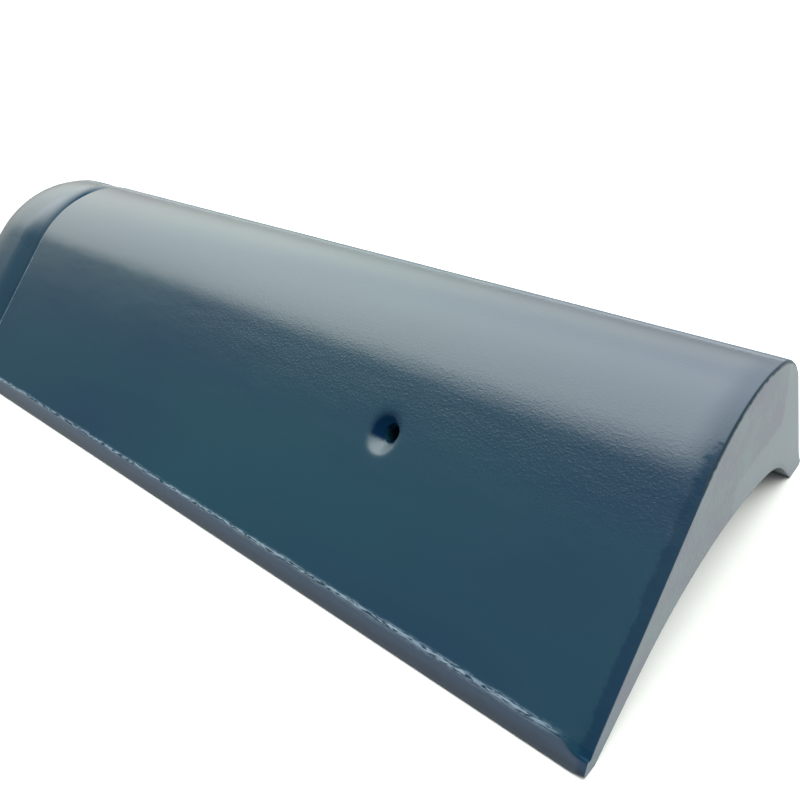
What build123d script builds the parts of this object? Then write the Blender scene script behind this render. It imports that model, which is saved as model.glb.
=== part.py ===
from build123d import *
import math
import os

# Concrete verge tile, one pressed piece. Millimetres, Z up, tile lying on its two long edges.
# X runs along the tile: the tail, which laps over the next tile, is at +X and the head at -X.
# Y runs across it: the long sloping wing is on the -Y side and the short steep leg on the +Y side.

# Overall
LENGTH = 420.0
HALF = LENGTH / 2

# Outer side of the section, from the wing's lower edge over the crown to the leg's foot
EDGE_LEAN = 3.8
EDGE_HEIGHT = 7.6
TOE_ROUND = 0.9
WING_SLOPE = 38.0
WING_LENGTH = 74.44
CROWN_RADIUS = 56.0
CROWN_END_SLOPE = -17.0
SHOULDER_RADIUS = 24.0
LEG_SLOPE = -71.5
FOOT_ROUND = 1.0

# The two corners of the lower edge are small arcs: where each starts, and how far its middle stands out
CORNER_ALONG_WING = (0.9, 0.7)
CORNER_DOWN_EDGE = (0.4, 1.4)
CORNER_BULGE = (-0.12, 0.12)
TOE_SIDE = (0.35, TOE_ROUND)
TOE_SOLE = (1.2, 0.0)
TOE_BULGE = (-0.2, -0.18)

# The leg's foot, rounded off just above the floor
FOOT_START_HEIGHT = 1.6
FOOT_OUT = 0.9
FOOT_BULGE = (0.3, -0.12)

# Points along each stretch of the outer side, which one smooth curve then runs through
WING_POINTS = 9
CROWN_POINTS = 8
SHOULDER_POINTS = 6
LEG_POINTS = 6

# Underside of the section, a shallow arch
ARCH_START = 5.8
ARCH_SLOPE = 27.2
ARCH_LINE = 26.3
ARCH_NEAR_RADIUS = 113.0
ARCH_FAR_RADIUS = 117.0
ARCH_FAR_SLOPE = -15.0
ARCH_KNEE_RADIUS = 31.0
ARCH_LEG_SLOPE = -50.0

# Head lap: a groove behind the body's sharp edge, then a sunk rim and a rounded nose.
# The stations are distances behind the sharp edge where the lap's section is drawn.
LAP = 50.0
LAP_STATIONS = (0.0, 5.5, 10.5, 16.0, 22.0, 34.0, 42.0, 47.5, LAP)
GROOVE_DEPTH = 5.0
GROOVE_FLOOR_END = 2.2
GROOVE_END = 22.0
RIM_SINK = 0.4
RIM_START = 3.0
RIM_FULL = 15.0
RIM_FADES = 36.0
RIM_END = 47.0
NOSE_DROP = 3.2
NOSE_START = 29.0
NOSE_POWER = 2.6

# How the lap changes across the tile, by distance from the wing's toe
GROOVE_AT_TOE = 0.55
GROOVE_FULL_FROM = 20.0
GROOVE_FADES_FROM = 60.0
GROOVE_LEAST_AT = 114.0
GROOVE_LEAST = 0.05
GROOVE_ON_LEG = 0.55
RIM_REACH = 42.0
NOSE_AT_TOE = 0.3
NOSE_ON_WING = (40.0, 0.2)
NOSE_UP_WING = (70.0, 1.0)
NOSE_AT_CROWN = 1.4
NOSE_PAST_CROWN = 22.0
NOSE_AT_SHOULDER = 1.8
NOSE_AT_FOOT = 0.6

# Tail: the outer face rolls off just before the cut end
ROLL_LENGTH = 5.0
ROLL_DROP = 1.1
ROLL_MIDDLE = 0.45
ROLL_MIDDLE_DROP = 0.2

# Nail hole through the wing, square to its face, with a pressed dimple round it
HOLE_RADIUS = 3.4
HOLE_FROM_TAIL = 101.6
HOLE_UP_WING = 55.3
DIMPLE_RADIUS = 8.0
DIMPLE_DEPTH = 2.2
DIMPLE_SHIFT = 2.0
BORE_LENGTH = 90.0


def turn(point, slope_from, slope_to, radius, steps):
    """Points along an arc that bends from one slope to another, turning downwards."""
    y, z = point
    first = math.radians(slope_from)
    out = []
    for i in range(1, steps + 1):
        a = math.radians(slope_from + (slope_to - slope_from) * i / steps)
        across = radius * (math.sin(first) - math.sin(a))
        out.append((y + across, z + radius * (math.cos(a) - math.cos(first))))
    return out


def run(point, slope, length, steps):
    """Points along a straight run at one slope."""
    y, z = point
    step_y = length / steps * math.cos(math.radians(slope))
    step_z = length / steps * math.sin(math.radians(slope))
    return [(y + i * step_y, z + i * step_z) for i in range(1, steps + 1)]


def run_to_floor(point, slope, stop, steps):
    """Points along a straight run down to the height stop."""
    a = math.radians(slope)
    length = (point[1] - stop) / -math.sin(a)
    return run(point, slope, length, steps)


def slopes_between(first, last, steps):
    """The slopes at the points of an arc."""
    return [first + (last - first) * i / steps for i in range(1, steps + 1)]


def outer_points():
    """Points of the section's outer side, and the slope of the side at each."""
    points = [(EDGE_LEAN + CORNER_ALONG_WING[0], EDGE_HEIGHT + CORNER_ALONG_WING[1])]
    slopes = [WING_SLOPE]
    corner = math.hypot(*CORNER_ALONG_WING)
    points += run(points[-1], WING_SLOPE, WING_LENGTH - corner, WING_POINTS)
    slopes += [WING_SLOPE] * WING_POINTS
    points += turn(points[-1], WING_SLOPE, CROWN_END_SLOPE, CROWN_RADIUS, CROWN_POINTS)
    slopes += slopes_between(WING_SLOPE, CROWN_END_SLOPE, CROWN_POINTS)
    points += turn(points[-1], CROWN_END_SLOPE, LEG_SLOPE, SHOULDER_RADIUS, SHOULDER_POINTS)
    slopes += slopes_between(CROWN_END_SLOPE, LEG_SLOPE, SHOULDER_POINTS)
    points += run_to_floor(points[-1], LEG_SLOPE, FOOT_START_HEIGHT, LEG_POINTS)
    slopes += [LEG_SLOPE] * LEG_POINTS
    return points, slopes


OUTER, OUTER_SLOPES = outer_points()
WIDTH = OUTER[-1][0] + FOOT_OUT
MIDDLE = WIDTH / 2
CROWN_Y = OUTER[WING_POINTS][0] + CROWN_RADIUS * math.sin(math.radians(WING_SLOPE))


def arch_points():
    """Underside of the section from the wing's foot to the leg's foot."""
    a = math.radians(ARCH_SLOPE)
    p1 = (ARCH_START + ARCH_LINE * math.cos(a), ARCH_LINE * math.sin(a))
    near = turn(p1, ARCH_SLOPE, 0.0, ARCH_NEAR_RADIUS, 2)
    far = turn(near[-1], 0.0, ARCH_FAR_SLOPE, ARCH_FAR_RADIUS, 2)
    knee = turn(far[-1], ARCH_FAR_SLOPE, ARCH_LEG_SLOPE, ARCH_KNEE_RADIUS, 2)
    foot = run_to_floor(knee[-1], ARCH_LEG_SLOPE, 0.0, 1)[0]
    return p1, near, far, knee, foot


def section(x, insets):
    """A closed face across the tile at x, its outer side moved inwards by insets."""
    moved = []
    for (y, z), slope, inset in zip(OUTER, OUTER_SLOPES, insets):
        a = math.radians(slope)
        moved.append((y + inset * math.sin(a), z - inset * math.cos(a)))
    start = moved[0]
    end = moved[-1]
    edge_top = (EDGE_LEAN - CORNER_DOWN_EDGE[0] + insets[0] / 2, start[1] - CORNER_DOWN_EDGE[1])
    foot = (WIDTH - FOOT_ROUND, 0.0)
    arch_toe = (ARCH_START, 0.0)
    arch_first, near, far, knee, arch_foot = arch_points()

    def at(p):
        return Vector(x, p[0] - MIDDLE, p[1])

    def middle(p, q, bulge):
        return (p[0] + q[0]) / 2 + bulge[0], (p[1] + q[1]) / 2 + bulge[1]

    edges = [
        Line(at(arch_toe), at(TOE_SOLE)),
        ThreePointArc(at(TOE_SOLE), at(middle(TOE_SOLE, TOE_SIDE, TOE_BULGE)), at(TOE_SIDE)),
        Line(at(TOE_SIDE), at(edge_top)),
        ThreePointArc(at(edge_top), at(middle(edge_top, start, CORNER_BULGE)), at(start)),
        Spline([at(p) for p in moved]),
        ThreePointArc(at(end), at(middle(end, foot, FOOT_BULGE)), at(foot)),
        Line(at(foot), at(arch_foot)),
        Line(at(arch_foot), at(knee[-1])),
        ThreePointArc(at(knee[-1]), at(knee[0]), at(far[-1])),
        ThreePointArc(at(far[-1]), at(far[0]), at(near[-1])),
        ThreePointArc(at(near[-1]), at(near[0]), at(arch_first)),
        Line(at(arch_first), at(arch_toe)),
    ]
    return Face(Wire(edges))


def ease(value, low, high):
    """0 below low, 1 above high, and a smooth rise between them."""
    t = min(1.0, max(0.0, (value - low) / (high - low)))
    return t * t * (3 - 2 * t)


def between(places, value):
    """Straight steps between (place, share) pairs."""
    for (low, first), (high, last) in zip(places, places[1:]):
        if value <= high:
            return first + (last - first) * (value - low) / (high - low)
    return places[-1][1]


def groove_share(y):
    """How much of the groove's depth there is at y: all on the wing, hardly any past the crown."""
    on_wing = between([(0.0, GROOVE_AT_TOE), (GROOVE_FULL_FROM, 1.0)], y)
    fall = (on_wing - GROOVE_LEAST) * (1 - ease(y, GROOVE_FADES_FROM, GROOVE_LEAST_AT))
    climb = (GROOVE_ON_LEG - GROOVE_LEAST) * ease(y, GROOVE_LEAST_AT, WIDTH)
    return GROOVE_LEAST + fall + climb


def nose_share(y):
    """How much of the nose's rounding there is at y: most over the shoulder, least on the wing."""
    crown = (CROWN_Y, NOSE_AT_CROWN)
    shoulder = (CROWN_Y + NOSE_PAST_CROWN, NOSE_AT_SHOULDER)
    places = [(0.0, NOSE_AT_TOE), NOSE_ON_WING, NOSE_UP_WING, crown, shoulder, (WIDTH, NOSE_AT_FOOT)]
    return between(places, y)


def rim_share(y):
    """The rim is sunk below the body over the crown only."""
    return max(0.0, 1.0 - ((y - CROWN_Y) / RIM_REACH) ** 2)


def lap_section(back):
    """The section of the head lap, back mm behind the body's sharp edge."""
    groove = GROOVE_DEPTH * (1 - ease(back, GROOVE_FLOOR_END, GROOVE_END))
    rim = RIM_SINK * ease(back, RIM_START, RIM_FULL) * (1 - ease(back, RIM_FADES, RIM_END))
    nose = NOSE_DROP * max(0.0, (back - NOSE_START) / (LAP - NOSE_START)) ** NOSE_POWER
    insets = [groove * groove_share(y) + rim * rim_share(y) + nose * nose_share(y) for y, z in OUTER]
    return section(-HALF + LAP - back, insets)


# The main body, from the sharp edge at the lap to the start of the tail's roll-off
flush = [0.0] * len(OUTER)
body_face = section(-HALF + LAP, flush)
body = extrude(body_face, amount=LENGTH - LAP - ROLL_LENGTH, dir=(1, 0, 0))

# The head lap, one smooth skin through its groove, rim and nose
lap = loft([lap_section(back) for back in LAP_STATIONS])

# The tail's roll-off
tail_faces = [
    section(HALF - ROLL_LENGTH, flush),
    section(HALF - ROLL_LENGTH * (1 - ROLL_MIDDLE), [ROLL_DROP * ROLL_MIDDLE_DROP] * len(OUTER)),
    section(HALF, [ROLL_DROP] * len(OUTER)),
]
tail = loft(tail_faces)

tile = body + lap + tail

# The nail hole and its dimple, square to the wing
slope = math.radians(WING_SLOPE)
hole_y = EDGE_LEAN + HOLE_UP_WING * math.cos(slope) - MIDDLE
hole_z = EDGE_HEIGHT + HOLE_UP_WING * math.sin(slope)
hole_x = HALF - HOLE_FROM_TAIL
square_out = Vector(0, -math.sin(slope), math.cos(slope))
centre = Vector(hole_x, hole_y, hole_z)
bore_plane = Plane(origin=centre, x_dir=(1, 0, 0), z_dir=square_out)
bore = bore_plane * Cylinder(HOLE_RADIUS, BORE_LENGTH)
sphere_radius = (DIMPLE_RADIUS ** 2 + DIMPLE_DEPTH ** 2) / (2 * DIMPLE_DEPTH)
dimple_plane = Plane(origin=centre - Vector(DIMPLE_SHIFT, 0, 0), x_dir=(1, 0, 0), z_dir=square_out)
dimple = dimple_plane * Pos(0, 0, sphere_radius - DIMPLE_DEPTH) * Sphere(sphere_radius)
tile = tile - bore - dimple

# Centred on its own footprint, so that the origin is the middle of the floor under it
box = tile.bounding_box()
shift = -(box.min.Y + box.max.Y) / 2
tile = Pos(0, shift, 0) * tile

hole_place = [round(v, 3) for v in (hole_x, hole_y + shift, hole_z)]
print("width", round(box.size.Y, 2), "height", round(box.size.Z, 2), "shift", round(shift, 3))
print("hole centre on the face", hole_place, "toe line", round(shift - MIDDLE, 3))
print("solids", len(tile.solids()), "faces", len(tile.faces()), "volume", round(tile.volume))

os.makedirs("parts", exist_ok=True)
solid = tile.solids()[0]
solid.label = "tile"
export_step(solid, "parts/tile.step")
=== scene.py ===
# %% [markdown]
# # A concrete verge tile
# A verge tile closes the side of a tiled roof. It is one piece of pressed concrete with a dark blue coating:
# a long sloping wing, a rounded crown and a short steep leg, hollow underneath like a shallow arch.
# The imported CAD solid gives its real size. This script dresses that solid with the things that are too small
# for it: the worn corners, the paint bead along the lower rim, the grain of the coating and the raw cut face.
# Every length in the sizes below is in millimetres, and the scene itself is in metres.

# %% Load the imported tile
import math

import bmesh
import bpy
import numpy as np
from mathutils import Matrix, Vector, noise


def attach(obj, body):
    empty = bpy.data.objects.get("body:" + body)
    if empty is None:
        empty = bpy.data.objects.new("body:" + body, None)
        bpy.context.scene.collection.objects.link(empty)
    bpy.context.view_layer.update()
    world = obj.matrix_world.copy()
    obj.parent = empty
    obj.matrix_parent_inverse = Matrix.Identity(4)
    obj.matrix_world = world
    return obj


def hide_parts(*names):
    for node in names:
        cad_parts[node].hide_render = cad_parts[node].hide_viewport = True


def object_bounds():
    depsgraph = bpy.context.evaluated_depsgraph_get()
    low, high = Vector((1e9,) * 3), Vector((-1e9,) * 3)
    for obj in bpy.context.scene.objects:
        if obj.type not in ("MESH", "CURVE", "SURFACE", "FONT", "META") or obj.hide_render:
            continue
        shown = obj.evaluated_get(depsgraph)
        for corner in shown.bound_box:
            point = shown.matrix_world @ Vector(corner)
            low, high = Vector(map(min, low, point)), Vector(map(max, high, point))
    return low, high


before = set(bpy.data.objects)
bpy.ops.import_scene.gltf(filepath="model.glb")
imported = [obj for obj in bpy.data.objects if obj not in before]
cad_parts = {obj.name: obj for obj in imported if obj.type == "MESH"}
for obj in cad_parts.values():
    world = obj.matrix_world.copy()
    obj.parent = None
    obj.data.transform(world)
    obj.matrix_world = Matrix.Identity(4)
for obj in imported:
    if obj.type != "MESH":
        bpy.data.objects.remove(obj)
MM = 0.001
cad_low, cad_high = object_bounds()
cad_box = [list(cad_low), list(cad_high)]
print("CAD box in mm", [[round(v / MM, 2) for v in corner] for corner in cad_box])

# %% [markdown]
# ## The camera
# The photograph is a close three-quarter view from above the tail, with the camera tipped to one side.
# A camera can be placed by hand until the picture looks right, or its place can be worked out from edges
# whose real lengths are known. The second way was used here, so the two long edges and the cut face fall
# where they do in the photograph. The look is given as three plain angles, in the order pan, pitch and roll.

# %% Camera
CAMERA_PLACE = (272.4, -163.8, 208.8)
PAN = 138.32
PITCH = -35.83
ROLL = 11.47
PICTURE_WIDTH = 800
FOCAL_PIXELS = 808.9
SENSOR = 36.0
NEAREST_SEEN = 10.0

pan, pitch, roll = (math.radians(a) for a in (PAN, PITCH, ROLL))
look = Vector((math.cos(pan) * math.cos(pitch), math.sin(pan) * math.cos(pitch), math.sin(pitch)))
level_right = look.cross(Vector((0, 0, 1))).normalized()
right = Matrix.Rotation(roll, 3, look) @ level_right
up = right.cross(look)
turned = Matrix((right, up, -look)).transposed().to_4x4()
camera_data = bpy.data.cameras.new("camera")
camera_data.sensor_width = SENSOR
camera_data.lens = SENSOR * FOCAL_PIXELS / PICTURE_WIDTH
camera_data.clip_start = NEAREST_SEEN * MM
camera = bpy.data.objects.new("camera", camera_data)
camera.matrix_world = Matrix.Translation(Vector(CAMERA_PLACE) * MM) @ turned
bpy.context.scene.collection.objects.link(camera)
bpy.context.scene.camera = camera
print("camera lens in mm", round(camera_data.lens, 2))

# %% [markdown]
# ## The section as a walk
# The maker's drawing of such a tile is straight runs joined by arcs. Both are the same thing to someone who
# walks along the outline: so many millimetres, turning evenly from one slope to another. Adding up the small
# steps gives the curve, with its slope at every point, and the slope is what later pushes a point square
# into the surface. A bevelled curve object could draw the same outline, but wouldn't say where it slopes.

# %% Walk along a profile
STEP = 0.02


def walk(start, stretches):
    """Distance, y, z and slope along stretches of (length, slope at its start, slope at its end)."""
    distance, slope = [np.zeros(1)], [np.array([math.radians(stretches[0][1])])]
    for length, first, last in stretches:
        count = max(2, round(length / STEP))
        share = np.arange(1, count + 1) / count
        distance.append(distance[-1][-1] + share * length)
        slope.append(np.radians(first + (last - first) * share))
    s, a = np.concatenate(distance), np.concatenate(slope)
    middle, ds = (a[1:] + a[:-1]) / 2, np.diff(s)
    y = start[0] + np.concatenate([[0], np.cumsum(ds * np.cos(middle))])
    z = start[1] + np.concatenate([[0], np.cumsum(ds * np.sin(middle))])
    return s, y, z, a


def arc(radius, first, last):
    """A stretch that bends at one radius."""
    return radius * math.radians(abs(last - first)), first, last


# %% [markdown]
# ## The two sides of the section
# The outer side starts at the toe on the floor, climbs the thin lower edge, turns sharply onto the wing,
# rolls over the crown and the shoulder, and comes down the leg to its foot. The underside is a flatter arch.
# The numbers follow the driving sizes of the CAD source, and the corners are drawn finer here.

# %% Profiles
HALF = 210.0
NEAR_EDGE = -72.53
LEVEL_BACKWARDS = 180.0
TOE_START = 1.12
TOE_RADIUS = 0.75
EDGE_SLOPE = 63.05
EDGE_LENGTH = 6.79
CORNER_RADIUS = 2.0
WING_SLOPE = 38.0
WING_LENGTH = 74.08
CROWN_RADIUS = 56.0
CROWN_END_SLOPE = -17.0
SHOULDER_RADIUS = 24.0
LEG_SLOPE = -71.5
LEG_LENGTH = 48.7
FOOT_RADIUS = 1.0
ARCH_START = 5.8
ARCH_LINE = 26.3
ARCH_SLOPE = 27.2
ARCH_NEAR_RADIUS = 113.0
ARCH_FAR_RADIUS = 117.0
ARCH_FAR_SLOPE = -15.0
ARCH_KNEE_RADIUS = 31.0
ARCH_LEG_SLOPE = -50.0
ARCH_LEG_LINE = 13.7

OUTER_STRETCHES = [
    arc(TOE_RADIUS, LEVEL_BACKWARDS, EDGE_SLOPE),
    (EDGE_LENGTH, EDGE_SLOPE, EDGE_SLOPE),
    arc(CORNER_RADIUS, EDGE_SLOPE, WING_SLOPE),
    (WING_LENGTH, WING_SLOPE, WING_SLOPE),
    arc(CROWN_RADIUS, WING_SLOPE, CROWN_END_SLOPE),
    arc(SHOULDER_RADIUS, CROWN_END_SLOPE, LEG_SLOPE),
    (LEG_LENGTH, LEG_SLOPE, LEG_SLOPE),
    arc(FOOT_RADIUS, LEG_SLOPE, -LEVEL_BACKWARDS),
]
ARCH_STRETCHES = [
    (ARCH_LINE, ARCH_SLOPE, ARCH_SLOPE),
    arc(ARCH_NEAR_RADIUS, ARCH_SLOPE, 0.0),
    arc(ARCH_FAR_RADIUS, 0.0, ARCH_FAR_SLOPE),
    arc(ARCH_KNEE_RADIUS, ARCH_FAR_SLOPE, ARCH_LEG_SLOPE),
    (ARCH_LEG_LINE, ARCH_LEG_SLOPE, ARCH_LEG_SLOPE),
]
outer = walk((TOE_START, 0.0), OUTER_STRETCHES)
arch = walk((ARCH_START, 0.0), ARCH_STRETCHES)
ends = np.cumsum([length for length, first, last in OUTER_STRETCHES])
toe_end, edge_end, corner_end, wing_end, crown_end, shoulder_end, leg_end, foot_end = ends
CROWN_Y = float(np.interp(0.0, -outer[3], outer[1]))
WIDTH = float(outer[1].max())
print("section width", round(WIDTH - float(outer[1].min()), 2))
print("crown", round(float(outer[2].max()), 2), "at y", round(CROWN_Y, 2))

# %% [markdown]
# ## Where the mesh is fine and where it is coarse
# A pressed tile is smooth over most of its length, so one or two millimetres between points is enough there.
# The lap's sharp edge, the cut end, the lower rim and the nail hole need points a few tenths apart. A
# subdivision modifier would refine everything alike and waste faces on the flat wing, so the rows and
# columns of one large grid are simply spaced as listed.

# %% Columns across the section
HOLE_FROM_TAIL = 101.6
HOLE_UP_WING = 55.3
HOLE_RADIUS = 3.4
PATCH = 11.0
PATCH_STEPS = 20
CORNER_UP_WING = 0.356
FINE_UP_WING = 3.2


def spread(*runs):
    """Joins runs of (end, count) into one rising list; the first run is just its start."""
    places = [runs[0]]
    for end, count in runs[1:]:
        places += list(np.linspace(places[-1], end, count + 1)[1:])
    return np.array(places)


wing_start = corner_end - CORNER_UP_WING
patch_low, patch_high = (wing_start + HOLE_UP_WING + side * PATCH for side in (-1, 1))
columns = spread(
    0.0,
    (toe_end, 3), (edge_end, 6), (corner_end, 4), (corner_end + FINE_UP_WING, 10),
    (patch_low, 20), (patch_high, PATCH_STEPS), (wing_end, 5),
    (crown_end, 32), (shoulder_end, 17), (leg_end, 15), (foot_end, 4),
)
column_first = int(np.argmin(abs(columns - patch_low)))
column_last = column_first + PATCH_STEPS

# %% Rows along the tile
LAP = 50.0
ROLL_LENGTH = 5.0

hole_x = HALF - HOLE_FROM_TAIL
lap_x = -HALF + LAP
roll_x = HALF - ROLL_LENGTH
rows = spread(
    -HALF,
    (-HALF + 0.12, 1), (-HALF + 0.7, 3), (-HALF + 10.0, 9), (-HALF + 28.0, 10),
    (lap_x - 2.0, 17), (lap_x - 0.5, 4), (lap_x - 0.1, 2), (lap_x + 0.1, 2), (lap_x + 0.6, 4),
    (hole_x - PATCH, 166), (hole_x + PATCH, PATCH_STEPS), (roll_x - 6.0, 49), (roll_x - 1.5, 5),
    (HALF - 1.4, 10), (HALF - 0.4, 8), (HALF - 0.1, 3), (HALF, 2),
)
row_first = int(np.argmin(abs(rows - (hole_x - PATCH))))
row_last = row_first + PATCH_STEPS
print(len(rows), "rows by", len(columns), "columns")

# %% [markdown]
# ## Matching the underside to the outer side
# The nail hole is square to the wing, so a straight pin through a point of the wing meets the arch at one
# point. Under the wing near the hole the underside's columns are placed by that pin, and before and after
# that they are shared out by length. Both sides then have the same number of columns, which closes the
# ends neatly and lets the hole run straight through.

# %% Columns of the underside
WELL_UP_WING = 10.0


def on(profile, s):
    """The y and z of a profile at a distance along it."""
    return np.interp(s, profile[0], profile[1]), np.interp(s, profile[0], profile[2])


slope = math.radians(WING_SLOPE)
wing_y, wing_z = on(outer, wing_start + WELL_UP_WING)
wing_y = wing_y - WELL_UP_WING * math.cos(slope)
wing_z = wing_z - WELL_UP_WING * math.sin(slope)
pin_place = (arch[1] - wing_y) * math.cos(slope) + (arch[2] - wing_z) * math.sin(slope)
rising = slice(0, int(pin_place.argmax()))


def arch_below(up_wing):
    """Distance along the arch where a pin square to the wing comes out."""
    return np.interp(up_wing, pin_place[rising], arch[0][rising])


patch_span = [arch_below(HOLE_UP_WING + side * PATCH) for side in (-1, 1)]
arch_columns = np.interp(columns, [0, patch_low, patch_high, foot_end], [0, *patch_span, arch[0][-1]])
patch_columns = slice(column_first, column_last + 1)
arch_columns[patch_columns] = arch_below(columns[patch_columns] - wing_start)
hole_top = on(outer, wing_start + HOLE_UP_WING)
hole_bottom = on(arch, arch_below(HOLE_UP_WING))
print("wall at the hole", round(float(np.hypot(*np.subtract(hole_bottom, hole_top))), 2))

# %% [markdown]
# ## What the press and the coating leave on the surface
# The outer side isn't a perfect sweep. At the head there is a groove behind a sharp edge and then a rounded
# rim, over which the next tile laps. The tail rolls off just before it was cut, a little deeper here than in
# the CAD solid. A dimple is pressed round the nail hole, the coating dries to a thin bead along the lower
# rim, and the whole skin waves by a tenth of a millimetre. All of these are one number at each point: how
# far the point sinks square to the surface. Sculpting or a displacement picture would do it too, but a
# formula in millimetres stays true to the sizes.

# %% Smooth steps and smooth noise
def ease(value, low, high):
    """0 below low, 1 above high, and a smooth rise between them."""
    t = np.clip((value - low) / (high - low), 0, 1)
    return t * t * (3 - 2 * t)


def ripple(x, s, size, seed):
    """Smooth noise from -1 to 1 whose bumps are about size millimetres."""
    x, s = np.broadcast_arrays(x, s)
    flat = [noise.noise(Vector((a / size, b / size, seed))) for a, b in zip(x.ravel(), s.ravel())]
    return np.array(flat).reshape(x.shape)


# %% Relief of the lap
GROOVE_DEPTH = 5.0
GROOVE_FLOOR_END = 2.2
GROOVE_END = 22.0
GROOVE_AT_TOE = 0.55
GROOVE_FULL_FROM = 20.0
GROOVE_FADES_FROM = 60.0
GROOVE_LEAST_AT = 114.0
GROOVE_LEAST = 0.05
GROOVE_ON_LEG = 0.5
RIM_SINK = 0.4
RIM_REACH = 52.0
RIM_RISE = (3.0, 15.0)
RIM_FADE = (36.0, 47.0)
NOSE_DROP = 3.2
NOSE_START = 29.0
NOSE_POWER = 2.6
NOSE_PLACES = (0, 40, 70, CROWN_Y, CROWN_Y + 22, WIDTH)
NOSE_SHARES = (0.3, 0.2, 1.0, 1.4, 1.8, 0.6)
NOSE_BLUR = (-9, -3, 3, 9)
WALL_HALF = 0.1
ARRIS = 0.5


def lap_relief(x, y):
    """The groove, the rim and the rounded nose at the head."""
    back = lap_x - x
    on_wing = np.minimum(GROOVE_AT_TOE + (1 - GROOVE_AT_TOE) * y / GROOVE_FULL_FROM, 1.0)
    groove_here = GROOVE_LEAST + (on_wing - GROOVE_LEAST) * (1 - ease(y, GROOVE_FADES_FROM, GROOVE_LEAST_AT))
    groove_here = groove_here + GROOVE_ON_LEG * ease(y, GROOVE_LEAST_AT, WIDTH)
    wall = ease(back, -WALL_HALF, WALL_HALF)
    groove = wall * (1 - ease(back, GROOVE_FLOOR_END, GROOVE_END))
    nose_here = sum(np.interp(y + aside, NOSE_PLACES, NOSE_SHARES) for aside in NOSE_BLUR) / len(NOSE_BLUR)
    nose = np.clip((back - NOSE_START) / (LAP - NOSE_START), 0, 1) ** NOSE_POWER
    rim_here = np.maximum(0, 1 - ((y - CROWN_Y) / RIM_REACH) ** 2) ** 2
    rim = ease(back, *RIM_RISE) * (1 - ease(back, *RIM_FADE))
    # The body's edge is rounded only where the groove behind it is deep enough to leave one.
    rounded = ARRIS - np.sqrt(np.maximum(0, ARRIS ** 2 - np.clip(ARRIS + back, 0, ARRIS) ** 2))
    rounded *= (1 - wall) * np.minimum(1, groove_here * 2)
    sunk = GROOVE_DEPTH * groove_here * groove + NOSE_DROP * nose_here * nose + RIM_SINK * rim_here * rim
    return sunk + rounded


# %% Relief of the tail
ROLL_DROP = 1.5
ROLL_POWER = 1.7
ROLL_RAGGED = 0.9
ROLL_RAGGED_SIZE = 7.0
ROLL_LOST_ON_CROWN = 0.85
ROLL_AT_CORNER = 0.75
ROLL_FULL_UP_WING = 12.0
TAIL_ARRIS = 0.3
CROWN_ARRIS = 1.1
ROLL_SEED = 11.0

crown_start = wing_end


def roll_share(x, s):
    """0 before the tail's roll-off and 1 at the cut; where it starts is a little ragged."""
    start = roll_x + ROLL_RAGGED * ripple(0.0, s, ROLL_RAGGED_SIZE, ROLL_SEED)
    rolled = np.clip((x - start) / (HALF - start), 0, 1)
    over_crown = 1 - ROLL_LOST_ON_CROWN * ease(s, crown_start, crown_end)
    up_wing = ROLL_AT_CORNER + (1 - ROLL_AT_CORNER) * ease(s, corner_end, corner_end + ROLL_FULL_UP_WING)
    return rolled * over_crown * up_wing


def arris_relief(x, s):
    """The worn corners of both ends; the tail's is rounder over the crown than on the wing."""
    over_crown = ease(s, crown_start - 6, crown_start + 10)
    radius = np.where(x > 0, TAIL_ARRIS + (CROWN_ARRIS - TAIL_ARRIS) * over_crown, ARRIS)
    end = np.clip(abs(x) - (HALF - radius), 0, radius)
    return radius - np.sqrt(radius ** 2 - end ** 2)


# %% Relief of the dimple
DIMPLE_FROM_TAIL = 104.05
DIMPLE_UP_WING = 54.4
DIMPLE_LONG = 6.25
DIMPLE_UP = 7.3
DIMPLE_DEPTH = 2.2
DIMPLE_EDGE = 0.3


def dimple_relief(x, s):
    """A bowl pressed round the nail hole, longer up the wing than along it."""
    along = (x - (HALF - DIMPLE_FROM_TAIL)) / DIMPLE_LONG
    up_wing = (s - wing_start - DIMPLE_UP_WING) / DIMPLE_UP
    inside = 1 - along ** 2 - up_wing ** 2
    return DIMPLE_DEPTH * (inside + np.sqrt(inside ** 2 + DIMPLE_EDGE ** 2)) / 2


# %% Relief of the paint bead
BEAD_HEIGHT = 0.22
BEAD_UP_WING = 0.3
BEAD_WANDER = 0.5
BEAD_WANDER_SIZE = 14.0
BEAD_WIDTH = 0.6
BEAD_WIDENS = 0.4
BEAD_WIDENS_FROM = 60.0
BEAD_MEAN = 0.95
BEAD_UNEVEN = 0.4
BEAD_UNEVEN_SIZE = 9.0
BEAD_MOST = 1.2
BEAD_PLACE_SEED = 21.0
BEAD_UNEVEN_SEED = 23.0


def bead_share(x, s):
    """How much of the ragged paint bead there is along the lower rim."""
    middle = wing_start + BEAD_UP_WING + BEAD_WANDER * ripple(x, 0.0, BEAD_WANDER_SIZE, BEAD_PLACE_SEED)
    wider = BEAD_WIDTH * (1 + BEAD_WIDENS * ease(x, BEAD_WIDENS_FROM, HALF))
    uneven = BEAD_MEAN + BEAD_UNEVEN * ripple(x, 0.0, BEAD_UNEVEN_SIZE, BEAD_UNEVEN_SEED)
    inside_ends = ease(x, lap_x + 2, lap_x + 14) * (1 - ease(x, HALF - 16, HALF - 6))
    return np.clip(uneven, 0, BEAD_MOST) * inside_ends * np.exp(-(((s - middle) / wider) ** 2))


# %% The whole relief
WAVE = 0.09
WAVE_SIZE = 70.0
SMALL_WAVE = 0.45
SMALL_WAVE_SIZE = 19.0
WAVE_SEED = 31.0
SMALL_WAVE_SEED = 32.0


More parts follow.
